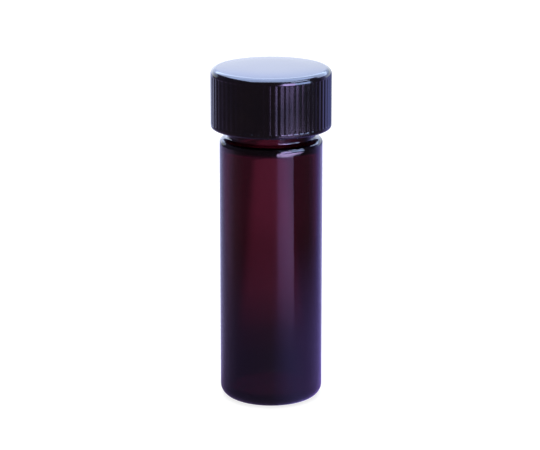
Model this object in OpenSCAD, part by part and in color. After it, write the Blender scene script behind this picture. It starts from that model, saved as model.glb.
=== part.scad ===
// Screw-cap sample vial, nominal 5 mL: an amber glass vial, a black moulded
// screw cap and the soft liner disc that seals between them.
// Millimetres, +Z up the axis, origin at the centre of the base.

/* [Glass body] */
// Outside diameter of the body
body_d = 16.5; // [12:0.1:30]
// Height of the shoulder, where the neck starts
shoulder_z = 43.1; // [15:0.1:100]
// Wall thickness of the body
wall_t = 1.2; // [0.8:0.05:1.6]
// Thickness of the base at its rim
base_t = 1.5; // [1:0.05:2.5]
// Radius of the outer edge at the base
heel_r = 1.8; // [0.5:0.05:2.4]
// Radius of the outer edge at the shoulder
shoulder_r = 0.8; // [0.4:0.05:1.4]
// Depth of the hollow under the base
punt_depth = 0.5; // [0.2:0.05:0.8]
// Width of the flat ring that the vial stands on
foot_w = 0.9; // [0.5:0.05:1.5]

/* [Neck] */
// How far the neck is set in from the body's wall
neck_inset = 1.25; // [0.8:0.05:2]
// Height of the neck above the shoulder
neck_h = 9; // [7:0.1:14]
// Wall thickness of the neck between its threads
neck_wall_t = 1.5; // [1.3:0.05:2]
// Radius of the fillet between the neck and the shoulder
neck_fillet_r = 0.45; // [0.1:0.05:0.45]
// Radius of the fire-polished edges of the rim
rim_r = 0.6; // [0.3:0.05:0.64]
// Radius of the inner edge where the shoulder meets the mouth
throat_r = 0.6; // [0.3:0.05:0.75]

/* [Screw thread] */
// Rise of the thread in one turn
thread_pitch = 2.4; // [2:0.05:2.9]
// Height of the glass bead above the neck
neck_bead_h = 0.8; // [0.5:0.05:1]
// Width of the glass bead
neck_bead_w = 1.3; // [0.9:0.05:1.3]
// Turns of the glass bead
neck_bead_turns = 1.5; // [1.2:0.05:1.7]
// Distance from the rim down to the glass bead
neck_bead_drop = 1; // [0.7:0.05:1.2]
// Width of the cap's bead at its root
cap_bead_w = 0.95; // [0.8:0.05:1]
// Width of the cap's bead at its crest
cap_bead_crest_w = 0.5; // [0.3:0.05:0.6]
// Turns of the cap's bead
cap_bead_turns = 1.1; // [0.9:0.05:1.15]
// Radial gap between each bead and the wall that it faces
thread_gap = 0.2; // [0.15:0.05:0.4]

/* [Cap] */
// Gap between the cap and the glass shoulder when it is closed
cap_gap = 1.7; // [0.5:0.05:2]
// Thickness of the cap's wall outside its bead
cap_wall_t = 1.65; // [1.3:0.05:3]
// Thickness of the cap's top
cap_top_t = 1.4; // [1:0.05:2.5]
// Radius of the cap's top edge
cap_edge_r = 1; // [0.4:0.05:1.2]
// Radius of the edges at the mouth of the cap
lip_r = 0.35; // [0.15:0.05:0.4]

/* [Grip] */
// Number of grip ribs
rib_count = 60; // [24:1:72]
// Depth of the valleys between the ribs
rib_depth = 0.06; // [0.05:0.01:0.15]
// Height of the plain lip below the ribs
lip_h = 0.7; // [0.5:0.05:2]
// Height of the plain crown above the ribs
crown_h = 1.1; // [0.9:0.05:2]

/* [Liner] */
// Thickness of the liner
liner_t = 1; // [0.5:0.05:2]
// Radial gap between the liner and the cap's wall
liner_gap = 0.2; // [0.15:0.05:0.4]

/* [Hidden] */
$fn = 96;

glass_color = [0.24, 0.05, 0.09, 0.75];
cap_color = [0.07, 0.065, 0.09];
liner_color = [0.86, 0.85, 0.8];

// Glass
body_r = body_d / 2;
bore_r = body_r - wall_t;
neck_r = body_r - neck_inset;
mouth_r = neck_r - neck_wall_t;
rim_z = shoulder_z + neck_h;
// Two quarter rounds take the inside of the shoulder from the wall to the mouth.
inner_shoulder_r = bore_r - mouth_r - throat_r;
inner_shoulder_z = shoulder_z - wall_t;
inner_heel_r = max(heel_r - wall_t, 0.8);
// The hollow under the base is part of a ball.
punt_r = body_r - heel_r - foot_w;
punt_ball_r = (punt_r * punt_r + punt_depth * punt_depth) / (2 * punt_depth);

// Closure: the liner sits on the rim and the cap on the liner.
ceiling_z = rim_z + liner_t;
cap_top_z = ceiling_z + cap_top_t;
cap_z = shoulder_z + cap_gap;
cap_bore_r = neck_r + neck_bead_h + thread_gap;
cap_r = cap_bore_r + cap_wall_t;
liner_r = cap_bore_r - liner_gap;
// The ribs are arcs side by side, each falling by the depth of a valley at its edges.
// They stand out by a hair, so that the cap's own surface trims their crowns.
rib_crown_r = cap_r + 0.002;
rib_edge_x = (cap_r - rib_depth) * cos(180 / rib_count);
rib_edge_y = (cap_r - rib_depth) * sin(180 / rib_count);
rib_r = (pow(rib_crown_r - rib_edge_x, 2) + pow(rib_edge_y, 2)) / (2 * (rib_crown_r - rib_edge_x));
rib_z = cap_z + lip_h;
rib_top_z = cap_top_z - crown_h;

// Both beads follow one right-handed helix, the cap's midway between the turns of
// the glass one, so that they clear each other all the way as the cap unscrews.
bead_steps = 48;
bead_fade = 24;
bead_sink = 0.3;
neck_bead_z = rim_z - neck_bead_drop - neck_bead_w / 2;
cap_bead_z = neck_bead_z - thread_pitch / 2;
cap_bead_h = cap_bore_r - neck_r - thread_gap;

// Half-section of a disc from z0 to z1, with its outer edges rounded.
module disc_section(r, z0, z1, low_r, high_r) {
    translate([0, z0 + low_r]) square([r, z1 - z0 - low_r - high_r]);
    translate([0, z1 - high_r]) square([r - high_r, high_r]);
    translate([r - high_r, z1 - high_r]) circle(high_r);
    if (low_r > 0) {
        translate([0, z0]) square([r - low_r, low_r]);
        translate([r - low_r, z0 + low_r]) circle(low_r);
    }
}

// Concave fillet in the corner of a wall at radius r and a floor at height z.
module fillet_section(r, z, size) {
    difference() {
        translate([r - size / 2, z - size / 2]) square(1.5 * size);
        translate([r + size, z + size]) circle(size);
    }
}

// Cross-sections of the beads, as [height above the wall, place along the axis].
// Each starts below the wall, and k is the share of its height that it has.
function round_bead(h, w, k) = [for (a = [-90 : 30 : 90])
    [k * (h + bead_sink) * cos(a) - bead_sink, w / 2 * sin(a)]];
function flat_bead(h, w, crest_w, k) =
    let (sunk_w = w + (w - crest_w) * bead_sink / h, crest = k * (h + bead_sink) - bead_sink)
    [[-bead_sink, -sunk_w / 2], [crest, -crest_w / 2], [crest, crest_w / 2], [-bead_sink, sunk_w / 2]];

// Share of a bead's full height at step i: it dips into the wall at both ends.
function bead_share(i, steps) =
    max(0.1, min(1, min(i, steps - i) * 360 / bead_steps / bead_fade));

// A bead swept down the helix from angle 0 at height z_top. The wall is at radius r,
// and side is 1 for a bead on the outside of it and -1 for one on the inside.
module bead_sweep(r, z_top, side, sections) {
    steps = len(sections) - 1;
    size = len(sections[0]);
    points = [for (i = [0 : steps], p = sections[i])
        let (a = -360 * i / bead_steps, pr = r + side * p[0])
        [pr * cos(a), pr * sin(a), z_top + thread_pitch * a / 360 + p[1]]];
    skin = [for (i = [0 : steps - 1], j = [0 : size - 1])
        let (k = (j + 1) % size, a = i * size, b = a + size)
        side > 0 ? [a + j, b + j, b + k, a + k] : [a + k, b + k, b + j, a + j]];
    first_end = [for (j = [0 : size - 1]) side > 0 ? j : size - 1 - j];
    last_end = [for (j = [0 : size - 1]) steps * size + (side > 0 ? size - 1 - j : j)];
    polyhedron(points, concat(skin, [first_end, last_end]));
}

// What is cut away at the mouth to round the rim's inner edge.
module mouth_flare_section() {
    difference() {
        translate([0, rim_z - rim_r]) square([mouth_r + rim_r, 2 * rim_r]);
        translate([mouth_r + rim_r, rim_z - rim_r]) circle(rim_r);
    }
}

// Half-section of the glass, without its bead.
module vial_section() {
    difference() {
        union() {
            disc_section(body_r, 0, shoulder_z, heel_r, shoulder_r);
            disc_section(neck_r, shoulder_z - wall_t, rim_z, 0, rim_r);
            fillet_section(neck_r, shoulder_z, neck_fillet_r);
        }
        disc_section(bore_r, base_t, inner_shoulder_z, inner_heel_r, inner_shoulder_r);
        fillet_section(mouth_r, inner_shoulder_z, throat_r);
        translate([0, inner_shoulder_z - wall_t]) square([mouth_r, neck_h + 3 * wall_t]);
        mouth_flare_section();
        translate([0, punt_depth - punt_ball_r]) circle(punt_ball_r);
    }
}

// One piece of amber glass: body, shoulder, neck and screw bead.
module vial() {
    steps = round(neck_bead_turns * bead_steps);
    color(glass_color) {
        rotate_extrude() vial_section();
        bead_sweep(neck_r, neck_bead_z, 1,
            [for (i = [0 : steps]) round_bead(neck_bead_h, neck_bead_w, bead_share(i, steps))]);
    }
}

// Half-section of the cap, without its bead. Its mouth opens out as a lead-in.
module cap_section() {
    difference() {
        disc_section(cap_r, cap_z, cap_top_z, lip_r, cap_edge_r);
        translate([0, cap_z - lip_r]) square([cap_bore_r, ceiling_z - cap_z + lip_r]);
        polygon([
            [0, cap_z - lip_r],
            [cap_bore_r + 2 * lip_r, cap_z - lip_r],
            [cap_bore_r, cap_z + lip_r],
            [0, cap_z + lip_r]
        ]);
    }
}

// The valleys cut between the grip ribs, each bounded by the ribs on its two sides.
module grip_valleys() {
    half_w = 0.97 * rib_edge_y;
    h = rib_top_z - rib_z;
    for (i = [0 : rib_count - 1])
        rotate(360 * i / rib_count)
            difference() {
                translate([cap_r - 2 * rib_depth, -half_w, rib_z])
                    cube([4 * rib_depth, 2 * half_w, h]);
                for (side = [-1, 1])
                    rotate(side * 180 / rib_count)
                        translate([rib_crown_r - rib_r, 0, rib_z - 1])
                            cylinder(r = rib_r, h = h + 2);
            }
}

// Moulded screw cap, with its inner bead.
module cap() {
    steps = round(cap_bead_turns * bead_steps);
    color(cap_color) {
        difference() {
            rotate_extrude() cap_section();
            grip_valleys();
        }
        bead_sweep(cap_bore_r, cap_bead_z, -1,
            [for (i = [0 : steps])
                flat_bead(cap_bead_h, cap_bead_w, cap_bead_crest_w, bead_share(i, steps))]);
    }
}

// Sealing disc, held in the cap above its bead.
module cap_liner() {
    color(liner_color)
        translate([0, 0, rim_z])
            cylinder(r = liner_r, h = liner_t);
}

vial();
cap();
cap_liner();
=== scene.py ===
# %% [markdown]
# # An amber screw-cap sample vial
#
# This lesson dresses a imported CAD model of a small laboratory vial: an amber glass
# vial, a black moulded screw cap, and the soft liner disc that seals between them.
# Each CAD piece is made again here as one clean, smoothly shaded mesh of the same
# size, because glass and gloss show every facet. The CAD pieces stay behind them,
# out of sight, for the motion.

# %% Load the frame
import math

import bpy
from mathutils import Matrix, Vector


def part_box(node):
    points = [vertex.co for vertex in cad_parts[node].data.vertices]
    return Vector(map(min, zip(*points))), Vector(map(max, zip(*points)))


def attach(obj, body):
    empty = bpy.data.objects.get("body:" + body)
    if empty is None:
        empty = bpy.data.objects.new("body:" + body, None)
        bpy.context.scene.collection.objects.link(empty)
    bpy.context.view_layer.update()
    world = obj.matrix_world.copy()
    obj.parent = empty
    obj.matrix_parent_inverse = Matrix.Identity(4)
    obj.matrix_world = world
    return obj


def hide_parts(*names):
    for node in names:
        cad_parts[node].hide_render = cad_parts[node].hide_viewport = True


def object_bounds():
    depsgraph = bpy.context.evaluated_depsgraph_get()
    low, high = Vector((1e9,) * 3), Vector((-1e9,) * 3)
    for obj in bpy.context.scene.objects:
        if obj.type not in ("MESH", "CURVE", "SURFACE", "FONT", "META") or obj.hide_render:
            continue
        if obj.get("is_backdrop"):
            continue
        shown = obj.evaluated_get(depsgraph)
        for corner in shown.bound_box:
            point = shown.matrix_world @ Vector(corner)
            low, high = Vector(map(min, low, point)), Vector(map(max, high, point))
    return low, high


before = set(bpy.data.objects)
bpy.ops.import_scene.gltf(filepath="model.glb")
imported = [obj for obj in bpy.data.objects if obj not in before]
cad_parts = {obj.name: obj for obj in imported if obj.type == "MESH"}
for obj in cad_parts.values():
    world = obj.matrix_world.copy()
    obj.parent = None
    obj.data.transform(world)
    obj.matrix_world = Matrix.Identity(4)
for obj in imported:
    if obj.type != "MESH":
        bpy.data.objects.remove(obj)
cad_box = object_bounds()
print("pieces in the frame:", sorted(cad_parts))

# %% [markdown]
# ## Sizes
#
# Blender works in metres and a vial is a matter of millimetres, so every size is
# written in millimetres and multiplied by one factor. The outside sizes are read
# from the CAD pieces' boxes, which keeps the looks in step with the frame. The
# smaller ones, such as walls and edge radii, are the CAD model's own values.

# %% Outside sizes, from the frame
MM = 0.001

glass_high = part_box("vial")[1]
cap_low, cap_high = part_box("cap")
liner_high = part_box("cap_liner")[1]

body_r, rim_z = glass_high.x, glass_high.z
cap_r, cap_z, cap_top_z = cap_high.x, cap_low.z, cap_high.z
liner_r, ceiling_z = liner_high.x, liner_high.z
outside_sizes = {
    "body radius": body_r, "rim height": rim_z, "cap radius": cap_r, "whole height": cap_top_z,
}
for label, size in outside_sizes.items():
    print(f"{label}: {size / MM:.2f} mm")

# %% Sizes of the glass
wall_t = 1.2 * MM
base_t = 1.5 * MM
heel_r = 1.8 * MM
inner_heel_r = 0.8 * MM
shoulder_r = 0.8 * MM
punt_depth = 0.5 * MM
foot_w = 0.9 * MM
neck_inset = 1.25 * MM
neck_h = 9 * MM
neck_wall_t = 1.5 * MM
neck_fillet_r = 0.45 * MM
rim_r = 0.6 * MM
throat_r = 0.6 * MM

bore_r = body_r - wall_t
neck_r = body_r - neck_inset
mouth_r = neck_r - neck_wall_t
shoulder_z = rim_z - neck_h
inner_shoulder_z = shoulder_z - wall_t
inner_shoulder_r = bore_r - mouth_r - throat_r
print(f"neck radius: {neck_r / MM:.2f} mm, mouth radius: {mouth_r / MM:.2f} mm")

# %% Sizes of the cap
cap_wall_t = 1.65 * MM
cap_edge_r = 1 * MM
lip_r = 0.35 * MM
rib_count = 60
rib_depth = 0.06 * MM
lip_h = 0.7 * MM
crown_h = 1.1 * MM

cap_bore_r = cap_r - cap_wall_t
rib_z = cap_z + lip_h
rib_top_z = cap_top_z - crown_h
print(f"cap bore radius: {cap_bore_r / MM:.2f} mm")
print(f"ribs from {rib_z / MM:.1f} to {rib_top_z / MM:.1f} mm")

# %% Sizes of the screw thread
thread_pitch = 2.4 * MM
thread_gap = 0.2 * MM
neck_bead_h = 0.8 * MM
neck_bead_w = 1.3 * MM
neck_bead_turns = 1.5
neck_bead_drop = 1 * MM
cap_bead_w = 0.95 * MM
cap_bead_turns = 1.1

neck_bead_z = rim_z - neck_bead_drop - neck_bead_w / 2
cap_bead_z = neck_bead_z - thread_pitch / 2
cap_bead_h = cap_bore_r - neck_r - thread_gap
print(f"glass bead starts at {neck_bead_z / MM:.2f} mm, cap bead at {cap_bead_z / MM:.2f} mm")

# %% [markdown]
# ## Outlines
#
# All three pieces were turned or moulded round one axis, so each starts as half of
# its section: a line of points, each a radius and a height. It could be drawn by
# hand or bevelled out of a cylinder, but arcs and straight stretches worked out from
# the sizes keep every radius true. A straight stretch is split again close to its
# ends. The short faces there stop the shading of a long flat face from leaning over
# into the rounded edge beside it, which would show as a smear in a reflection.

# %% Arcs and straight stretches
EDGE = 0.06 * MM  # how close to its ends a straight stretch is split
ROW = 4 * MM  # the longest face along a straight stretch
SAME = 0.0001 * MM  # points nearer than this are one


def arc(centre, radius, start, end, steps=8):
    """Points on an arc, from the angle start to end in degrees; 0 points outwards and 90 up."""
    turns = [math.radians(start + (end - start) * i / steps) for i in range(steps + 1)]
    return [(centre[0] + radius * math.cos(t), centre[1] + radius * math.sin(t)) for t in turns]


def rows(r, z0, z1, spacing):
    """Evenly spaced points along an upright wall."""
    count = math.ceil(abs(z1 - z0) / spacing)
    return [(r, z0 + (z1 - z0) * i / count) for i in range(count + 1)]


def outline(*stretches):
    """Joins stretches of points, and splits the straight gap between two of them."""
    points = list(stretches[0])
    for stretch in stretches[1:]:
        (r0, z0), (r1, z1) = points[-1], stretch[0]
        gap = math.hypot(r1 - r0, z1 - z0)
        if gap > 3 * EDGE:
            inner = gap - 2 * EDGE
            count = math.ceil(inner / ROW)
            shares = [(EDGE + inner * i / count) / gap for i in range(count + 1)]
            points += [(r0 + (r1 - r0) * s, z0 + (z1 - z0) * s) for s in shares]
        points += [p for p in stretch if math.dist(p, points[-1]) > SAME]
    return points


quarter = arc((0, 0), 1 * MM, 0, 90, 3)
print("a quarter round of 1 mm:", [(round(r / MM, 2), round(z / MM, 2)) for r, z in quarter])

# %% [markdown]
# ## A small kit for node trees
#
# Geometry Nodes and materials are both graphs of nodes. Written out in full, every
# node takes four or five lines, so a few helpers keep the script short. A number
# given to a socket sets it, and another node's output is linked to it.

# %% Node helpers
def feed(tree, socket, value):
    """Links an output to a socket, or sets the socket's value."""
    if isinstance(value, bpy.types.NodeSocket):
        tree.links.new(value, socket)
    else:
        socket.default_value = value


def put(tree, kind, settings=None, **inputs):
    """Adds a node with its settings, and feeds its inputs by name, with _ for a space."""
    node = tree.nodes.new(kind)
    for name, value in (settings or {}).items():
        setattr(node, name, value)
    for name, value in inputs.items():
        socket = next(s for s in node.inputs if s.name == name.replace("_", " ") and s.enabled)
        feed(tree, socket, value)
    return node


def maths(tree, operation, *values, clamp=False):
    """Adds a maths node and returns its output."""
    node = tree.nodes.new("ShaderNodeMath")
    node.operation = operation
    node.use_clamp = clamp
    for socket, value in zip(node.inputs, values):
        feed(tree, socket, value)
    return node.outputs[0]


def times(tree, *values):
    """The product of several values."""
    product = values[0]
    for value in values[1:]:
        product = maths(tree, "MULTIPLY", product, value)
    return product


def from_axis(tree, x, y):
    """How far a place is from the object's axis."""
    return maths(tree, "SQRT", maths(tree, "ADD", times(tree, x, x), times(tree, y, y)))


print("helpers for node trees are ready")

# %% [markdown]
# ## How every tree starts and ends
#
# A tree is like a workshop jig with dials: it takes geometry in, has one named input
# for each size, and gives geometry back. At its end the surface is shaded smooth,
# made real and given its material, so that what leaves the tree is a finished mesh.

# %% Opening and closing a tree
def new_tree(name, **sizes):
    """A Geometry Nodes tree with a named input for each size. Returns it and its inputs."""
    tree = bpy.data.node_groups.new(name, "GeometryNodeTree")
    add = tree.interface.new_socket
    add("Geometry", in_out="INPUT", socket_type="NodeSocketGeometry")
    add("Geometry", in_out="OUTPUT", socket_type="NodeSocketGeometry")
    for label, value in sizes.items():
        kind = "NodeSocketInt" if isinstance(value, int) else "NodeSocketFloat"
        add(label.replace("_", " "), in_out="INPUT", socket_type=kind).default_value = value
    add("Material", in_out="INPUT", socket_type="NodeSocketMaterial")
    group = tree.nodes.new("NodeGroupInput")
    return tree, {s.name: s for s in group.outputs}


def close_tree(tree, geometry, material):
    """Smooth shading, real geometry and the material, then the tree's output."""
    smooth = put(tree, "GeometryNodeSetShadeSmooth", Geometry=geometry).outputs[0]
    real = put(tree, "GeometryNodeRealizeInstances", Geometry=smooth).outputs[0]
    painted = put(tree, "GeometryNodeSetMaterial", Geometry=real, Material=material).outputs[0]
    tree.links.new(painted, tree.nodes.new("NodeGroupOutput").inputs[0])
    print("tree:", tree.name, "with", len(tree.nodes), "nodes")
    return tree


print("trees can be opened and closed")

# %% [markdown]
# ## Turning an outline
#
# A lathe follows a rule: every point of the outline goes round the axis. The Screw
# modifier does that too, but it leaves a seam and open poles. This tree lays out a
# grid with one row for each point of the outline, bends it round the axis, and
# merges the points that meet. The result is one closed skin, which glass needs: its
# colour comes from how far light travels inside that skin.

# %% The turning tree
ROUND = 240  # faces round the axis on a smooth piece


def turning_tree():
    """Turns an outline round the Z axis, with the material on the outline's left."""
    tree, given = new_tree("turn the outline", Segments=ROUND)
    line = given["Geometry"]
    size = put(tree, "GeometryNodeAttributeDomainSize", Geometry=line)
    columns = maths(tree, "ADD", given["Segments"], 1)
    grid = put(tree, "GeometryNodeMeshGrid",
               Vertices_X=size.outputs["Point Count"], Vertices_Y=columns)
    index = tree.nodes.new("GeometryNodeInputIndex").outputs[0]
    row = maths(tree, "FLOOR", maths(tree, "DIVIDE", maths(tree, "ADD", index, 0.5), columns))
    column = maths(tree, "SUBTRACT", index, times(tree, row, columns))
    angle = times(tree, maths(tree, "DIVIDE", column, given["Segments"]), -math.tau)
    position = tree.nodes.new("GeometryNodeInputPosition").outputs[0]
    sample = put(tree, "GeometryNodeSampleIndex", {"data_type": "FLOAT_VECTOR"},
                 Geometry=line, Value=position, Index=row)
    place = put(tree, "ShaderNodeSeparateXYZ", Vector=sample.outputs[0])
    radius, height = place.outputs["X"], place.outputs["Z"]
    turned = put(tree, "ShaderNodeCombineXYZ",
                 X=times(tree, radius, maths(tree, "COSINE", angle)),
                 Y=times(tree, radius, maths(tree, "SINE", angle)), Z=height)
    bent = put(tree, "GeometryNodeSetPosition",
               Geometry=grid.outputs["Mesh"], Position=turned.outputs[0])
    merged = put(tree, "GeometryNodeMergeByDistance", Geometry=bent.outputs[0], Distance=SAME)
    return close_tree(tree, merged.outputs[0], given["Material"])


TURN = turning_tree()

# %% [markdown]
# ## Grip ribs
#
# A cap like this has a ring of fine upright ribs, so that dry or gloved fingers can
# turn it. They come from the mould, which has a shallow round flute cut for each rib.
# So the ribs are arcs side by side, with sharp little valleys between them, and each
# one carries one thin line of light. They could be modelled one by one and copied
# round. Here the wall itself is moved: a point goes in by how far round it is from
# the middle of its rib, and the movement fades out at both ends of the rib.

# %% Places on a wall
NEAR_WALL = 0.002 * MM  # a point this near to a wall's radius belongs to the wall


def wall_place(tree):
    """Angle round the axis, distance from it, height and outward direction of a point."""
    position = tree.nodes.new("GeometryNodeInputPosition").outputs[0]
    x, y, z = put(tree, "ShaderNodeSeparateXYZ", Vector=position).outputs
    radius = from_axis(tree, x, y)
    outward = put(tree, "ShaderNodeCombineXYZ", Z=0,
                  X=maths(tree, "DIVIDE", x, radius), Y=maths(tree, "DIVIDE", y, radius))
    return maths(tree, "ARCTAN2", y, x), radius, z, outward.outputs[0]


def move_wall(tree, given, radius, outward, distance):
    """Moves the points of the wall along their outward direction, and closes the tree."""
    on_wall = maths(tree, "COMPARE", radius, given["Wall Radius"], NEAR_WALL)
    offset = put(tree, "ShaderNodeVectorMath", {"operation": "SCALE"},
                 Vector=outward, Scale=times(tree, distance, on_wall))
    moved = put(tree, "GeometryNodeSetPosition",
                Geometry=given["Geometry"], Offset=offset.outputs[0])
    return close_tree(tree, moved.outputs[0], given["Material"])


print("points on a wall can be found and moved")

# %% The rib tree
def rib_tree():
    """Presses the valleys between round ribs into a wall."""
    tree, given = new_tree("press the ribs", Count=60, Depth=0.0, Wall_Radius=0.0,
                           Bottom=0.0, Top=0.0, Run_Out=0.0)
    angle, radius, height, outward = wall_place(tree)
    half = maths(tree, "DIVIDE", math.pi, given["Count"])
    from_valley = maths(tree, "ABSOLUTE", maths(tree, "WRAP", angle, half, times(tree, half, -1)))
    from_crown = maths(tree, "SUBTRACT", 1, maths(tree, "DIVIDE", from_valley, half))
    above = maths(tree, "SUBTRACT", height, given["Bottom"])
    below = maths(tree, "SUBTRACT", given["Top"], height)
    inside = maths(tree, "MINIMUM", above, below)
    fade = maths(tree, "DIVIDE", inside, given["Run Out"], clamp=True)
    inward = times(tree, from_crown, from_crown, fade, given["Depth"], -1)
    return move_wall(tree, given, radius, outward, inward)


RIBS = rib_tree()

# %% [markdown]
# ## Screw beads
#
# The neck carries one raised bead that winds down it, and the cap one that winds
# between the turns of the neck's. A bead could be a profile swept along a curve, but
# then it and its wall would be two skins that cut through each other, and in clear
# glass the hidden part shows. So the bead too is the wall itself, raised: by how far
# along the axis a point lies from a helix, and by how far it is from the bead's two
# ends, where a real bead sinks into the wall.

# %% The bead tree
FLANK = 0.8  # the share of a bead's half width over which it rises
CREST = 1.3  # above 1, the bead's foot is softer than its crest
FADE = 0.07  # the part of a turn over which each end of a bead sinks into the wall


def bead_tree():
    """Raises a right-handed screw bead on a wall. Side is 1 outside the wall and -1 inside it."""
    tree, given = new_tree("raise the screw bead", Wall_Radius=0.0, Side=1.0, Start=0.0,
                           Pitch=1.0, Turns=1.0, Height=0.0, Width=0.0, Fade=FADE)
    angle, radius, height, outward = wall_place(tree)
    # Along the bead, in turns: 0 at its upper end and minus Turns at its lower one.
    turn = maths(tree, "DIVIDE", angle, math.tau)
    climb = maths(tree, "DIVIDE", maths(tree, "SUBTRACT", height, given["Start"]), given["Pitch"])
    whole_turns = maths(tree, "ROUND", maths(tree, "SUBTRACT", turn, climb))
    along = maths(tree, "SUBTRACT", turn, whole_turns)
    helix = maths(tree, "ADD", given["Start"], times(tree, given["Pitch"], along))
    off = maths(tree, "ABSOLUTE", maths(tree, "SUBTRACT", height, helix))
    half = times(tree, given["Width"], 0.5)
    inside = maths(tree, "SUBTRACT", half, off)
    flank = maths(tree, "DIVIDE", inside, times(tree, half, FLANK), clamp=True)
    crown = maths(tree, "POWER", maths(tree, "SINE", times(tree, flank, math.pi / 2)), CREST)
    from_start = times(tree, along, -1)
    from_end = maths(tree, "ADD", along, given["Turns"])
    from_nearest = maths(tree, "MINIMUM", from_start, from_end)
    fade = maths(tree, "DIVIDE", from_nearest, given["Fade"], clamp=True)
    rise = times(tree, given["Height"], given["Side"], crown, fade)
    return move_wall(tree, given, radius, outward, rise)


BEAD = bead_tree()

# %% [markdown]
# ## From outline to piece
#
# A piece is made by hanging the trees on its outline one after another, as a maker
# would turn it, rib it and thread it. The evaluated result is then copied out as a
# plain mesh, and the outline with its modifiers is thrown away.

# %% Make one piece
def add_object(name, data):
    """Puts a mesh, a lamp or a camera into the scene."""
    thing = bpy.data.objects.new(name, data)
    bpy.context.scene.collection.objects.link(thing)
    return thing


def make_piece(name, points, material, *steps):
    """Runs each step, a tree and its sizes, on an outline, and returns the plain mesh object."""
    line = bpy.data.meshes.new(name + "_outline")
    edges = [(i, i + 1) for i in range(len(points) - 1)]
    line.from_pydata([(r, 0, z) for r, z in points], edges, [])
    source = add_object(name + "_outline", line)
    for tree, sizes in steps:
        modifier = source.modifiers.new(tree.name, "NODES")
        modifier.node_group = tree
        sockets = {s.name: s.identifier for s in tree.interface.items_tree if s.in_out == "INPUT"}
        for label, value in {**sizes, "Material": material}.items():
            modifier[sockets[label]] = value
    depsgraph = bpy.context.evaluated_depsgraph_get()
    mesh = bpy.data.meshes.new_from_object(source.evaluated_get(depsgraph), depsgraph=depsgraph)
    mesh.name = name
    bpy.data.objects.remove(source)
    print(f"{name}: {len(points)} points in the outline, {len(mesh.polygons)} faces in the mesh")
    return add_object(name, mesh)


print("pieces can be made")

# %% [markdown]
# ## Finishes
#
# All three finishes are made from nodes alone and read Object coordinates, so a
# pattern stays where it is on its piece, at its real scale, from every side. A
# helper makes a Principled material with the plain values that hold all over it.

# %% Material helpers
def new_material(name, **values):
    """A Principled material with plain values. Returns it, its tree and its shader."""
    material = bpy.data.materials.new(name)
    material.use_nodes = True
    tree = material.node_tree
    shader = next(n for n in tree.nodes if n.type == "BSDF_PRINCIPLED")
    for label, value in values.items():
        shader.inputs[label.replace("_", " ")].default_value = value
    return material, tree, shader


def object_place(tree):
    """The place on the object, in metres."""
    return tree.nodes.new("ShaderNodeTexCoord").outputs["Object"]


def noise(tree, across, along, detail=2.0):
    """Noise between 0 and 1, whose patches are about across wide and along tall."""
    scaled = put(tree, "ShaderNodeMapping", Vector=object_place(tree),
                 Scale=(1 / across, 1 / across, 1 / along))
    node = put(tree, "ShaderNodeTexNoise", Vector=scaled.outputs[0], Scale=1.0, Detail=detail)
    return node.outputs[0]


def spread(tree, value, low, high):
    """Stretches noise, which mostly lies between 0.3 and 0.7, to run from low to high."""
    node = put(tree, "ShaderNodeMapRange",
               Value=value, From_Min=0.3, From_Max=0.7, To_Min=low, To_Max=high)
    return node.outputs[0]


def blend_colours(tree, factor, off, on):
    """Goes from the colour off to the colour on as the factor goes from 0 to 1."""
    node = put(tree, "ShaderNodeMix", {"data_type": "RGBA"}, Factor=factor, A=off, B=on)
    return next(s for s in node.outputs if s.enabled)


def bump(tree, shader, height, depth, strength=1.0):
    """Presses a pattern between 0 and 1 into the surface, as deep as depth."""
    node = put(tree, "ShaderNodeBump", Strength=strength, Distance=depth, Height=height)
    feed(tree, shader.inputs["Normal"], node.outputs[0])


print("helpers for finishes are ready")

# %% [markdown]
# ## Amber glass
#
# Amber glass is clear glass with iron and sulphur melted in. Its colour lies in its
# depth: light loses green first, then blue, so a thin edge is pale and a thick wall
# is nearly black with a wine-red glow. A tinted surface would look like painted
# plastic. So the surface is plain clear glass, and the colour is a Volume Absorption
# inside it. The body was drawn as a tube, which leaves it very slightly wavy round
# its girth and straight along its length, so a stretched noise bends its
# reflections. A faint second noise is the film that fingers leave on it.

# %% Amber glass
DRAW_LINE_W, DRAW_LINE_H = 3.5 * MM, 45 * MM  # a wave of the drawn tube, round and along it
DRAW_DEPTH = 0.006 * MM
FILM = 1.5 * MM  # a patch of the film on the surface
FILM_ROUGHNESS = 0.0, 0.03
AMBER, DENSITY = (0.48, 0.03, 0.23, 1), 2100  # absorbed per metre: (1 - colour) * density

amber_glass, tree, shader = new_material(
    "amber_glass", Base_Color=(1, 1, 1, 1), IOR=1.5, Transmission_Weight=1)
amber = put(tree, "ShaderNodeVolumeAbsorption", Color=AMBER, Density=DENSITY)
output = next(n for n in tree.nodes if n.type == "OUTPUT_MATERIAL")
tree.links.new(amber.outputs[0], output.inputs["Volume"])
bump(tree, shader, noise(tree, DRAW_LINE_W, DRAW_LINE_H), DRAW_DEPTH)
feed(tree, shader.inputs["Roughness"], spread(tree, noise(tree, FILM, 3 * FILM), *FILM_ROUGHNESS))
print("amber glass:", len(tree.nodes), "nodes")

# %% [markdown]
# ## Black phenolic
#
# Phenolic is a hard resin, pressed hot in a steel mould. It comes out glossy and
# very black, and it keeps two traces of its making: a fine grain like the skin of
# an orange, and cloudy patches where the powder flowed and set, which are a little
# duller and browner. Both are noise, one small and one large, in the bump, the
# roughness and the colour.

# %% Black phenolic
GRAIN, GRAIN_DEPTH = 0.35 * MM, 0.0006 * MM
FLOW = 3 * MM  # a cloudy patch
BLACK, BROWN_BLACK = (0.003, 0.0025, 0.005, 1), (0.006, 0.004, 0.006, 1)
MOULDED_ROUGHNESS = 0.115, 0.13

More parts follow.
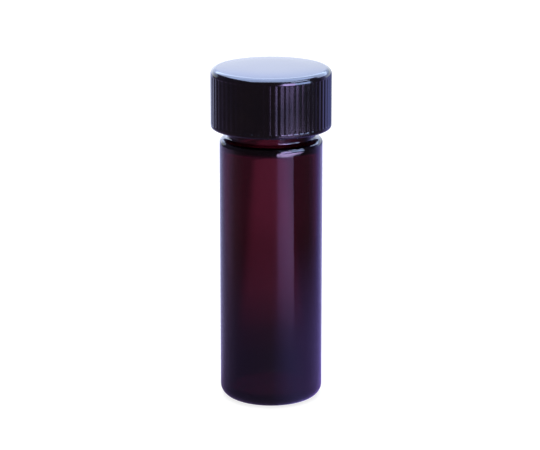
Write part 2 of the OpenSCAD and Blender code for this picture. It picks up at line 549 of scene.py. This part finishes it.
black_phenolic, tree, shader = new_material("black_phenolic", IOR=1.55)
flow = noise(tree, FLOW, FLOW, 4.0)
cloud = blend_colours(tree, spread(tree, flow, 0, 1), BLACK, BROWN_BLACK)
feed(tree, shader.inputs["Base Color"], cloud)
feed(tree, shader.inputs["Roughness"], spread(tree, flow, *MOULDED_ROUGHNESS))
bump(tree, shader, noise(tree, GRAIN, GRAIN), GRAIN_DEPTH)
print("black phenolic:", len(tree.nodes), "nodes")

# %% [markdown]
# ## Liner rubber with a white film
#
# The liner is a disc punched from sheet: soft cream rubber with a thin white film
# that won't react with the sample, on the side that meets the glass. One piece with
# one material is enough, because the film's edge is only a change of colour and
# gloss at a height. The rubber has a fine powdery grain from its filler.

# %% The liner's finish
FILM_T = 0.15 * MM
POWDER, POWDER_DEPTH = 0.12 * MM, 0.002 * MM
DARK_CREAM, CREAM = (0.56, 0.51, 0.41, 1), (0.66, 0.61, 0.5, 1)
FILM_WHITE = (0.82, 0.82, 0.8, 1)
RUBBER_ROUGHNESS, FILM_SMOOTHER = (0.6, 0.75), 0.3

liner_face, tree, shader = new_material("liner_face", IOR=1.45)
height = put(tree, "ShaderNodeSeparateXYZ", Vector=object_place(tree)).outputs["Z"]
film = maths(tree, "LESS_THAN", height, rim_z + FILM_T)
powder = noise(tree, POWDER, POWDER)
rubber = blend_colours(tree, spread(tree, powder, 0, 1), DARK_CREAM, CREAM)
feed(tree, shader.inputs["Base Color"], blend_colours(tree, film, rubber, FILM_WHITE))
rough = spread(tree, powder, *RUBBER_ROUGHNESS)
smoother = times(tree, film, FILM_SMOOTHER)
feed(tree, shader.inputs["Roughness"], maths(tree, "SUBTRACT", rough, smoother))
bump(tree, shader, powder, POWDER_DEPTH, strength=0.6)
print("liner:", len(tree.nodes), "nodes")

# %% [markdown]
# ## The glass vial
#
# The vial is one piece of glass. It was drawn as a tube, its base was closed with a
# shallow hollow so that it stands on a ring, and its neck was pinched in and pressed
# with a screw bead. One outline goes up the outside and comes down the inside, so
# the wall has its true thickness everywhere. That matters more here than anywhere
# else, because the thickness makes the colour.

# %% Outline of the glass
BEAD_ROW = 0.12 * MM  # how close the rows are where a bead rises

punt_r = body_r - heel_r - foot_w
punt_ball_r = (punt_r ** 2 + punt_depth ** 2) / (2 * punt_depth)
punt_angle = math.degrees(math.asin(punt_r / punt_ball_r))
bead_low = neck_bead_z - neck_bead_turns * thread_pitch - neck_bead_w
bead_high = min(neck_bead_z + neck_bead_w, rim_z - rim_r - EDGE)

# The rounded shoulder runs straight into the hollow fillet at the foot of the neck,
# and the angle at which they meet follows from the room between their centres.
shoulder_centre = (body_r - shoulder_r, shoulder_z - shoulder_r)
fillet_x = neck_r + neck_fillet_r
meet = math.acos((fillet_x - shoulder_centre[0]) / (shoulder_r + neck_fillet_r))
fillet_centre = (fillet_x, shoulder_centre[1] + (shoulder_r + neck_fillet_r) * math.sin(meet))
meet = math.degrees(meet)

vial_outline = outline(
    arc((0, punt_depth - punt_ball_r), punt_ball_r, 90, 90 - punt_angle, 6),
    arc((body_r - heel_r, heel_r), heel_r, -90, 0, 12),
    arc(shoulder_centre, shoulder_r, 0, meet, 12),
    arc(fillet_centre, neck_fillet_r, 180 + meet, 180, 8),
    rows(neck_r, bead_low, bead_high, BEAD_ROW),
    arc((neck_r - rim_r, rim_z - rim_r), rim_r, 0, 90),
    arc((mouth_r + rim_r, rim_z - rim_r), rim_r, 90, 180),
    arc((mouth_r + throat_r, inner_shoulder_z + throat_r), throat_r, 180, 270),
    arc((bore_r - inner_shoulder_r, inner_shoulder_z - inner_shoulder_r), inner_shoulder_r, 90, 0),
    arc((bore_r - inner_heel_r, base_t + inner_heel_r), inner_heel_r, 0, -90),
    [(0, base_t)],
)
print("outline of the glass:", len(vial_outline), "points")

# %% Turn the glass and raise its bead
vial_glass = make_piece(
    "vial_glass", vial_outline, amber_glass,
    (TURN, {"Segments": ROUND}),
    (BEAD, {"Wall Radius": neck_r, "Side": 1.0, "Start": neck_bead_z, "Pitch": thread_pitch,
            "Turns": neck_bead_turns, "Height": neck_bead_h, "Width": neck_bead_w}),
)

# %% [markdown]
# ## The screw cap
#
# The cap is one moulding: a skirt with ribs outside and a screw bead inside, and a
# top that is a hair higher in its middle than at its rounded edge, so that it comes
# out of the mould flat or domed but never hollow. Seen low across the top, that hair
# is enough to shade the light on it from the far edge to the near one. A plain flat
# disc would look like paper. The ribs are given twelve faces each, which is enough
# for one clean line of light on every rib.

# %% Outline of the cap
TOP_RISE = 0.08 * MM
TOP_STEPS = 10
DOME = 4  # the higher this power, the flatter the middle of the top
RIB_RUN_OUT = 0.06 * MM  # how far a rib takes to fade into the plain wall

cap_bead_low = max(cap_bead_z - cap_bead_turns * thread_pitch - cap_bead_w, cap_z + lip_r + EDGE)
top_r = cap_r - cap_edge_r
top_slope = math.degrees(math.atan(DOME * TOP_RISE / top_r))
top_edge = arc((top_r, cap_top_z - TOP_RISE - cap_edge_r), cap_edge_r, 0, 90 - top_slope, 12)
edge_r = top_edge[-1][0]
rise = cap_top_z - top_edge[-1][1]
shares = [1 - i / TOP_STEPS for i in range(1, TOP_STEPS + 1)]
domed_top = [(edge_r * share, cap_top_z - rise * share ** DOME) for share in shares]

cap_outline = outline(
    [(0, ceiling_z)],
    [(cap_bore_r, ceiling_z)],
    rows(cap_bore_r, cap_bead_z + cap_bead_w, cap_bead_low, BEAD_ROW),
    [(cap_bore_r, cap_z + lip_r), (cap_bore_r + lip_r, cap_z)],
    arc((cap_r - lip_r, cap_z + lip_r), lip_r, -90, 0, 6),
    rows(cap_r, rib_z, rib_z + RIB_RUN_OUT, RIB_RUN_OUT / 2),
    rows(cap_r, rib_top_z - RIB_RUN_OUT, rib_top_z, RIB_RUN_OUT / 2),
    top_edge,
    domed_top,
)
print("outline of the cap:", len(cap_outline), "points")
print("the top slopes by", round(top_slope, 2), "degrees at its edge")

# %% Turn the cap, press its ribs and raise its bead
FACES_PER_RIB = 12

screw_cap = make_piece(
    "screw_cap", cap_outline, black_phenolic,
    (TURN, {"Segments": FACES_PER_RIB * rib_count}),
    (RIBS, {"Count": rib_count, "Depth": rib_depth, "Wall Radius": cap_r,
            "Bottom": rib_z, "Top": rib_top_z, "Run Out": RIB_RUN_OUT}),
    (BEAD, {"Wall Radius": cap_bore_r, "Side": -1.0, "Start": cap_bead_z, "Pitch": thread_pitch,
            "Turns": cap_bead_turns, "Height": cap_bead_h, "Width": cap_bead_w}),
)

# %% [markdown]
# ## The sealing liner
#
# A plain disc between the glass rim and the cap's ceiling. It can only be seen when
# the cap is off. Its cut edges are rounded by a hair, as soft sheet is where a punch
# has pressed it. Its top stops a hair below the ceiling, because the cap turns over
# it, and two faces at exactly the same height would seem to cut each other.

# %% Turn the liner
liner_edge_r = 0.15 * MM
liner_room = 0.01 * MM  # between its top and the ceiling

liner_top_z = ceiling_z - liner_room
sealing_liner = make_piece(
    "sealing_liner",
    outline(
        [(0, rim_z)],
        arc((liner_r - liner_edge_r, rim_z + liner_edge_r), liner_edge_r, -90, 0, 4),
        arc((liner_r - liner_edge_r, liner_top_z - liner_edge_r), liner_edge_r, 0, 90, 4),
        [(0, liner_top_z)],
    ),
    liner_face,
    (TURN, {"Segments": ROUND // 2}),
)
print(f"the liner's top is at {liner_top_z / MM:.2f} mm")

# %% [markdown]
# ## Riding on the frame
#
# The cap lifts as it turns, and the liner lifts with it but doesn't turn. Each
# finished piece rides on the body of the CAD piece that it stands for, and hides that
# piece.

# %% Ride and replace
for piece, node, body, slot in (
    (vial_glass, "vial", "glass", "amber_glass"),
    (screw_cap, "cap", "closure", "black_phenolic"),
    (sealing_liner, "cap_liner", "liner", "liner_rubber"),
):
    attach(piece, body)
    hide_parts(node)
    print(piece.name, "rides on", body)

# %% [markdown]
# ## The floor, and what the gloss and the glass see
#
# The vial stands on a pale sweep of paper that looks white. Gloss and glass show
# their surroundings more than themselves, and a room that is white all round would
# wash both out. So the floor has three faces. The camera sees plain white with the
# object's soft shadow. A reflection sees a painted reflection: a dim violet room that
# is lit from the right, painted on the floor as light that only gloss shows, with a
# dark front, a bright band to the right of it, and a paler back. Light that comes
# through the glass sees a painted shadow: the paper darkening under and behind the
# vial. The painted room is made of colour ramps over the direction round the object,
# one for each of three distances, because each height on the object mirrors its own
# distance.

# %% Helpers for directions and distances
def ramp(tree, value, stops):
    """A colour ramp through stops, each a value and a colour."""
    first, last = stops[0][0], stops[-1][0]
    node = tree.nodes.new("ShaderNodeValToRGB")
    share = maths(tree, "DIVIDE", maths(tree, "SUBTRACT", value, first), last - first)
    tree.links.new(share, node.inputs[0])
    band = node.color_ramp
    while len(band.elements) < len(stops):
        band.elements.new(0.5)
    for element, (at, colour) in zip(band.elements, stops):
        element.position = (at - first) / (last - first)
        element.color = (*colour, 1)
    return node.outputs[0]


def azimuth(tree, x, y):
    """Degrees round the object: 0 is the front and 90 the right."""
    return maths(tree, "DEGREES", maths(tree, "ARCTAN2", x, times(tree, y, -1)))


def between(tree, value, low, high):
    """A soft step that is 0 at low and 1 at high."""
    node = put(tree, "ShaderNodeMapRange", {"interpolation_type": "SMOOTHSTEP"},
               Value=value, From_Min=low, From_Max=high)
    return node.outputs[0]


def glow(tree, colour, strength=1.0):
    """A surface that shines by itself."""
    return put(tree, "ShaderNodeEmission", Color=colour, Strength=strength).outputs[0]


def choose(tree, factor, off, on):
    """Shows one shader or another."""
    node = tree.nodes.new("ShaderNodeMixShader")
    for slot, value in enumerate((factor, off, on)):
        feed(tree, node.inputs[slot], value)
    return node.outputs[0]


print("helpers for the studio are ready")

# %% The painted reflection of a room, at three distances
# Each stop is a direction in degrees, 0 at the front and 90 to the right, and a painted colour.
NEAR_PAINTED_ROOM = (
    (-180, (0.7, 0.7, 1.2)), (-140, (0.5, 0.45, 0.9)), (-110, (0.3, 0.22, 0.5)),
    (-70, (0.2, 0.14, 0.36)), (0, (0.24, 0.17, 0.38)), (40, (0.45, 0.36, 1.1)),
    (75, (0.45, 0.3, 1.0)), (128, (0.4, 0.3, 1.0)), (180, (0.7, 0.7, 1.2)),
)
MIDDLE_PAINTED_ROOM = (
    (-180, (0.75, 0.75, 1.2)), (-150, (0.6, 0.62, 1.1)), (-125, (0.42, 0.32, 0.68)),
    (-100, (0.4, 0.26, 0.5)), (-85, (0.22, 0.14, 0.22)), (-60, (0.12, 0.06, 0.1)),
    (0, (0.1, 0.07, 0.12)), (11, (0.2, 0.13, 0.28)), (16, (0.7, 0.45, 1.2)),
    (30, (1.1, 0.75, 1.9)), (49, (1.3, 0.9, 2.0)), (51, (0.1, 0.06, 0.1)),
    (90, (0.1, 0.08, 0.12)), (112, (0.2, 0.15, 0.4)), (128, (0.34, 0.27, 0.9)),
    (146, (0.63, 0.58, 1.3)), (180, (0.75, 0.75, 1.2)),
)
FAR_PAINTED_ROOM = (
    (-180, (0.75, 0.8, 1.3)), (-155, (0.95, 1.05, 1.6)), (-145, (0.6, 0.65, 1.05)),
    (-136, (0.12, 0.1, 0.2)), (-60, (0.1, 0.07, 0.1)), (0, (0.1, 0.07, 0.1)),
    (18, (0.12, 0.08, 0.14)), (22, (0.42, 0.5, 0.9)), (34, (0.42, 0.5, 0.9)),
    (38, (0.15, 0.1, 0.16)), (90, (0.1, 0.08, 0.12)), (108, (0.1, 0.08, 0.2)),
    (120, (0.4, 0.38, 0.9)), (136, (0.36, 0.4, 1.05)), (150, (0.16, 0.19, 0.52)),
    (165, (0.26, 0.29, 0.55)), (180, (0.75, 0.8, 1.3)),
)
# The distances between which one ramp goes over into the next.
NEAR_TO_ROOM = 30 * MM, 110 * MM
ROOM_TO_FAR = 182 * MM, 194 * MM
for label, stops in (("near", NEAR_PAINTED_ROOM), ("painted_room", MIDDLE_PAINTED_ROOM), ("far", FAR_PAINTED_ROOM)):
    print(label, "ramp:", len(stops), "stops")

# %% [markdown]
# ## Two lights painted on the floor
#
# An edge that is only a millimetre wide mirrors very little of the room, and a lamp
# for it would be seen by everything else too. A patch of light painted on the floor
# can be put just where the camera looks when it looks at that edge. A wide card lies
# far off, for the edges that lean back. A narrow strip lies nearer, for the top of
# the body's wall, and gives the shoulder its pale lens of light. It tapers towards
# both of its ends, as the light on a round shoulder does.

# %% The painted card and strip
# A soft side is given as where it begins and where the light is full.
CARD_COLOUR = (5.5, 3.9, 9.0, 1)
CARD_NEAR = 280 * MM, 290 * MM
CARD_LEFT, CARD_RIGHT = (14, 19), (50, 46)

STRIP_COLOUR = (8.0, 6.3, 12.0, 1)
STRIP_NEAR, STRIP_FAR = (176.5 * MM, 179.2 * MM), (189 * MM, 182.5 * MM)
STRIP_LEFT, STRIP_RIGHT = (11, 15), (79, 72)
STRIP_MIDDLE = 36
STRIP_TAPER = 0.07 * MM  # how much narrower it is for each degree from its middle
print(f"the card starts {CARD_NEAR[1] / MM:.0f} mm away, the strip {STRIP_NEAR[1] / MM:.0f} mm")

# %% The floor as gloss sees it, a painted reflection
floor_paint = bpy.data.materials.new("floor_paint")
floor_paint.use_nodes = True
tree = floor_paint.node_tree
tree.nodes.clear()

x, y, _ = put(tree, "ShaderNodeSeparateXYZ", Vector=object_place(tree)).outputs
away = from_axis(tree, x, y)
turn = azimuth(tree, x, y)

# Painted reflection: the colours of a room that is not there, shown only to gloss.
near, painted_room, far = [ramp(tree, turn, stops) for stops in (NEAR_PAINTED_ROOM, MIDDLE_PAINTED_ROOM, FAR_PAINTED_ROOM)]
painted_room = blend_colours(tree, between(tree, away, *NEAR_TO_ROOM), near, painted_room)
painted_room = blend_colours(tree, between(tree, away, *ROOM_TO_FAR), painted_room, far)
card = times(
    tree, between(tree, away, *CARD_NEAR),
    between(tree, turn, *CARD_LEFT), between(tree, turn, *CARD_RIGHT),
)
painted_room = blend_colours(tree, card, painted_room, CARD_COLOUR)
# The near side of the strip lies further out, the further it is from the middle.
from_middle = maths(tree, "ABSOLUTE", maths(tree, "SUBTRACT", turn, STRIP_MIDDLE))
tapered = maths(tree, "SUBTRACT", away, times(tree, from_middle, STRIP_TAPER))
strip = times(
    tree, between(tree, tapered, *STRIP_NEAR), between(tree, away, *STRIP_FAR),
    between(tree, turn, *STRIP_LEFT), between(tree, turn, *STRIP_RIGHT),
)
# Painted reflection: a glow that only gloss sees, of the painted room, card and strip.
mirrored = glow(tree, blend_colours(tree, strip, painted_room, STRIP_COLOUR))
print("the mirrored room:", len(tree.nodes), "nodes")

# %% The floor as it is seen through the glass, with a painted shadow
WHITE = (1, 1, 1, 1)
# Painted shadow and light: seen through the glass, the paper gets less light near the vial, except
# a painted lit strip straight behind it and the open paper to the sides and in front.
PAINTED_SHADE_RAMP = ((20, 0.0), (34, 0.1), (43, 0.3), (60, 0.6), (90, 0.7), (115, 1.0))  # mm, share of light
PAINTED_LIT_STRIP = 15 * MM, 7 * MM  # the lit strip straight behind the vial, by its half width
BESIDE = 50 * MM, 90 * MM  # to both sides the paper is open again
IN_FRONT = 0, -20 * MM  # and in front
SHADED, OPEN = 0.25, 0.85  # the share of light where the paper is shaded and where it is open
LEAST = 0.02  # the paper is never quite black

side = maths(tree, "ABSOLUTE", x)
open_paper = maths(tree, "MAXIMUM", between(tree, side, *PAINTED_LIT_STRIP), between(tree, side, *BESIDE))
open_paper = maths(tree, "MAXIMUM", open_paper, between(tree, y, *IN_FRONT))
light = maths(tree, "ADD", SHADED, times(tree, open_paper, OPEN - SHADED))
painted_shadow_fall = ramp(tree, away, [(distance * MM, (share,) * 3) for distance, share in PAINTED_SHADE_RAMP])
# Painted shade: the glow that the glass shows, darker near and behind the vial.
behind = glow(tree, WHITE, maths(tree, "ADD", times(tree, painted_shadow_fall, light), LEAST))
print("with the paper behind the glass:", len(tree.nodes), "nodes")

# %% The floor as the camera and the lamps see it
SHINE = 0.8  # the paper's own white, to which the shadowed light adds the rest
SHADOW_GREY = (0.4, 0.4, 0.4, 1)
MATT_GREY = (0.8, 0.8, 0.8, 1)

shadowed = put(tree, "ShaderNodeBsdfDiffuse", Color=SHADOW_GREY).outputs[0]
white = tree.nodes.new("ShaderNodeAddShader")
tree.links.new(shadowed, white.inputs[0])
tree.links.new(glow(tree, WHITE, SHINE), white.inputs[1])
pale = put(tree, "ShaderNodeBsdfDiffuse", Color=MATT_GREY).outputs[0]

ray = tree.nodes.new("ShaderNodeLightPath").outputs
surface = choose(tree, ray["Is Camera Ray"], pale, white.outputs[0])
surface = choose(tree, ray["Is Glossy Ray"], surface, mirrored)
surface = choose(tree, ray["Is Transmission Ray"], surface, behind)
tree.links.new(surface, tree.nodes.new("ShaderNodeOutputMaterial").inputs[0])
print("the whole floor paint:", len(tree.nodes), "nodes")

# %% The floor
FLOOR_HALF = 3.0

mesh = bpy.data.meshes.new("floor")
corners = [(sx * FLOOR_HALF, sy * FLOOR_HALF, 0) for sx, sy in ((-1, -1), (1, -1), (1, 1), (-1, 1))]
mesh.from_pydata(corners, [], [(0, 1, 2, 3)])
mesh.materials.append(floor_paint)
floor = add_object("floor", mesh)
floor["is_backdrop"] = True
print("floor:", 2 * FLOOR_HALF, "m square")

# %% [markdown]
# ## The world
#
# The world goes on where the floor ends. The camera sees it white, a reflection sees
# the far room painted on it as a painted reflection, light through the glass sees it
# dimmer as painted shade, and it gives the pieces a soft even light of its own.

# %% World
PLAIN_STRENGTH, SEEN_STRENGTH = 0.4, 1.0  # as a light, and where it is seen or mirrored
DIMMER_THROUGH_GLASS = 0.25

world = bpy.data.worlds.new("studio")
bpy.context.scene.world = world
world.use_nodes = True
tree = world.node_tree
background = next(n for n in tree.nodes if n.type == "BACKGROUND")
ray = tree.nodes.new("ShaderNodeLightPath").outputs
direction = tree.nodes.new("ShaderNodeTexCoord").outputs["Generated"]
x, y, _ = put(tree, "ShaderNodeSeparateXYZ", Vector=direction).outputs
# Painted reflection: gloss sees the far room's colours on the world.
painted_far_room = ramp(tree, azimuth(tree, x, y), FAR_PAINTED_ROOM)
seen = maths(tree, "MAXIMUM", ray["Is Camera Ray"], ray["Is Glossy Ray"])
strength = maths(tree, "ADD", PLAIN_STRENGTH, times(tree, seen, SEEN_STRENGTH - PLAIN_STRENGTH))
# Painted shade: seen through the glass, the world is dimmer than the light it gives.
dimmer = times(tree, ray["Is Transmission Ray"], DIMMER_THROUGH_GLASS)
feed(tree, background.inputs["Color"], blend_colours(tree, ray["Is Glossy Ray"], WHITE, painted_far_room))
feed(tree, background.inputs["Strength"], maths(tree, "SUBTRACT", strength, dimmer))
print("world:", len(tree.nodes), "nodes")

# %% [markdown]
# ## Lamps
#
# Soft rectangular lamps light the set, as softboxes do in a studio. Two long, dim
# panels stand behind the object and give the glass its pale rims. Two lie overhead,
# for the cap's top and its edge. Three stand to the right, two at the height of the
# object and one above it, for the lines on the ribs and the lights on the shoulder.
# All of these are kept out of the view through the glass, and the last five light
# gloss only. The eighth, above, is the other way round: it lights the matt surfaces
# and the floor, for the shadow, and no gloss shows it. A lamp is given by three of
# its corners, which says its place, size and tilt at once, and by how bright it
# looks.

# %% Lamp helpers
def place_at(turn, distance, height):
    """A place in the room: turn is 0 at the front and 90 at the right."""
    a = math.radians(turn)
    return (distance * math.sin(a), -distance * math.cos(a), height)


def soft_panel(name, low_left, low_right, high_left, radiance, colour):
    """A rectangular lamp facing the object, with these corners as seen from it."""
    corner = Vector(low_left)
    across, up = Vector(low_right) - corner, Vector(high_left) - corner
    lamp = bpy.data.lights.new(name, "AREA")
    lamp.shape = "RECTANGLE"
    lamp.size, lamp.size_y = across.length, up.length
    lamp.energy = radiance * math.pi * across.length * up.length
    lamp.color = colour
    panel = add_object(name, lamp)
    back = across.cross(up)
    facing = -1 if back.dot(corner) < 0 else 1  # a lamp shines along its own -Z
    axes = (facing * across.normalized(), up.normalized(), facing * back.normalized())
    middle = corner + (across + up) / 2
    panel.matrix_world = Matrix.Translation(middle) @ Matrix(axes).transposed().to_4x4()
    panel.visible_camera = False
    panel.visible_transmission = False
    print(f"{name}: {across.length:.2f} by {up.length:.2f} m, radiance {radiance}")
    return panel


def wall_panel(name, away, left, right, low, high, radiance, colour):
    """An upright panel between two directions round the object and two heights."""
    corners = place_at(left, away, low), place_at(right, away, low), place_at(left, away, high)
    return soft_panel(name, *corners, radiance, colour)


print("helpers for lamps are ready")

# %% Lamps
BACK, SIDE = 0.75, 0.4  # distances from the object
LILAC, PALE_BLUE, SKY_BLUE = (0.6, 0.5, 1.0), (0.42, 0.57, 1.0), (0.5, 0.62, 1.0)
GREENISH_WHITE, BLUISH_WHITE = (0.84, 0.92, 0.86), (0.55, 0.7, 0.95)
TOP_BLUE, DEEP_BLUE = (0.56, 0.7, 1.0), (0.48, 0.62, 1.0)

# A wall panel's numbers: distance, left and right edge in degrees, low and high edge, radiance.
wall_panel("back_panel_low", BACK, 125, -125, 0.03, 0.15, 1.2, GREENISH_WHITE)
wall_panel("back_panel_high", BACK, 125, -125, 0.15, 0.3, 1.4, BLUISH_WHITE)
gloss_lamps = (
    soft_panel("overhead_back", (-0.33, 0.62, 0.3), (0.6, 0.62, 0.3), (-0.33, 0.22, 0.4),
               4.5, TOP_BLUE),
    soft_panel("overhead_front", (-0.33, 0.22, 0.4), (0.33, 0.22, 0.4), (-0.33, -0.3, 0.53),
               10.0, DEEP_BLUE),
    wall_panel("side_panel_left", SIDE, 45, 22, 0.005, 0.2, 12.0, LILAC),
    wall_panel("side_panel_right", SIDE, 78, 45, 0.005, 0.18, 11.0, PALE_BLUE),
    wall_panel("side_panel_high", SIDE, 88, 45, 0.3, 0.42, 12.0, SKY_BLUE),
)
for lamp in gloss_lamps:
    lamp.visible_diffuse = False
plain_lamp = soft_panel("plain_lamp", (-0.3, 0.3, 0.6), (0.3, 0.3, 0.6), (-0.3, -0.3, 0.6),
                        2.0, WHITE[:3])
plain_lamp.visible_glossy = False

# %% [markdown]
# ## Camera
#
# A long lens from a little above keeps the vial's sides nearly parallel and shows
# the cap's top as a flat ellipse. The camera aims at a point on the axis, and its
# turn follows from where it stands.

# %% Camera
CAMERA_LENS = 162
CAMERA_AWAY = 392.3 * MM
CAMERA_TILT = math.radians(15.35)
aim = Vector((-0.17, 0, 28.48)) * MM

camera_data = bpy.data.cameras.new("camera")
camera_data.lens = CAMERA_LENS
camera = add_object("camera", camera_data)
camera.location = aim + CAMERA_AWAY * Vector((0, -math.cos(CAMERA_TILT), math.sin(CAMERA_TILT)))
camera.rotation_euler = (aim - camera.location).to_track_quat("-Z", "Y").to_euler()
bpy.context.scene.camera = camera
bpy.context.scene.view_settings.view_transform = "Standard"
print("camera at", [round(v, 3) for v in camera.location])

# %% [markdown]
# ## The size after the looks
#
# The looks must not change the object's size, so the script prints how far the upper
# corner of the finished pieces' box lies past that of the CAD model's box.

# %% Finish
visual_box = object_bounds()
growth = [round((v - c) / MM, 3) for c, v in zip(cad_box[1], visual_box[1])]
print("grown by, in millimetres:", growth)
